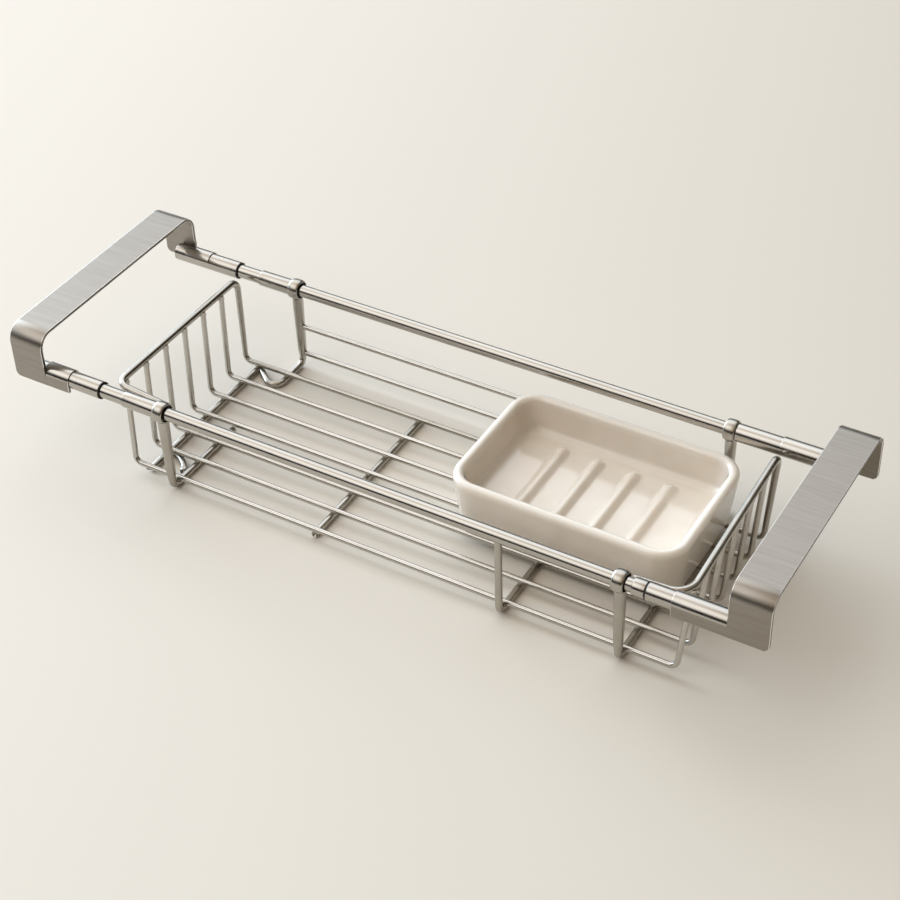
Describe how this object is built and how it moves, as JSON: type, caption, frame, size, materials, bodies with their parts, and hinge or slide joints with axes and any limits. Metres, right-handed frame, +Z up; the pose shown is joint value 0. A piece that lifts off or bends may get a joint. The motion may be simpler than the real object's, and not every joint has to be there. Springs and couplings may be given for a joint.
{
  "type": "sink caddy",
  "caption": "Wire basket hung from two rails between sliding end brackets that rest on a sink's rim, with a lift-out soap dish.",
  "frame": {"origin": "middle of the bounding box's bottom, at the level of the wires under the floor", "axes": "+X along the rails towards the bracket that stands over the soap dish's end, +Y to the rear rail, +Z up"},
  "size_m": [0.4656, 0.1474, 0.0839],
  "materials": {
    "rail_steel": "satin stainless steel tube",
    "wire_steel": "polished stainless steel wire",
    "strip_steel": "stainless steel strip with grain along the caddy",
    "nylon": "black moulded nylon",
    "glaze": "glossy cream glaze"
  },
  "bodies": {
    "basket": {"front_rail": "rail_steel", "rear_rail": "rail_steel", "front_left_rail_end": "rail_steel", "front_right_rail_end": "rail_steel", "rear_left_rail_end": "rail_steel", "rear_right_rail_end": "rail_steel", "front_left_glide": "nylon", "front_right_glide": "nylon", "rear_left_glide": "nylon", "rear_right_glide": "nylon", "front_left_ring": "wire_steel", "front_right_ring": "wire_steel", "rear_left_ring": "wire_steel", "rear_right_ring": "wire_steel", "front_left_ring_bush": "nylon", "front_right_ring_bush": "nylon", "rear_left_ring_bush": "nylon", "rear_right_ring_bush": "nylon", "front_left_hanger": "wire_steel", "front_right_hanger": "wire_steel", "rear_left_hanger": "wire_steel", "rear_right_hanger": "wire_steel", "end_cross_wire": "wire_steel", "centre_cross_wire": "wire_steel", "mid_post": "wire_steel", "arch_link": "wire_steel", "floor_wire_1": "wire_steel", "floor_wire_2": "wire_steel", "floor_wire_3": "wire_steel", "floor_wire_4": "wire_steel", "floor_wire_5": "wire_steel", "floor_wire_6": "wire_steel", "rim_wire": "wire_steel", "upper_side_wire": "wire_steel", "lower_side_wire": "wire_steel"},
    "left_bracket": {"left_bracket_strip": "strip_steel", "front_left_sleeve": "rail_steel", "rear_left_sleeve": "rail_steel", "front_left_mouth_bush": "nylon", "rear_left_mouth_bush": "nylon"},
    "right_bracket": {"right_bracket_strip": "strip_steel", "front_right_sleeve": "rail_steel", "rear_right_sleeve": "rail_steel", "front_right_mouth_bush": "nylon", "rear_right_mouth_bush": "nylon"},
    "soap_dish": {"soap_dish": "glaze"}
  },
  "joints": [
    {"name": "left_bracket_slide", "type": "slide", "parent": "basket", "child": "left_bracket", "axis": [-1, 0, 0], "range_m": [-0.0154, 0.0171]},
    {"name": "right_bracket_slide", "type": "slide", "parent": "basket", "child": "right_bracket", "axis": [1, 0, 0], "range_m": [0, 0.0402]},
    {"name": "soap_dish_lift", "type": "slide", "parent": "basket", "child": "soap_dish", "axis": [0, -0.41, 0.9121], "range_m": [0, 0.07]}
  ]
}
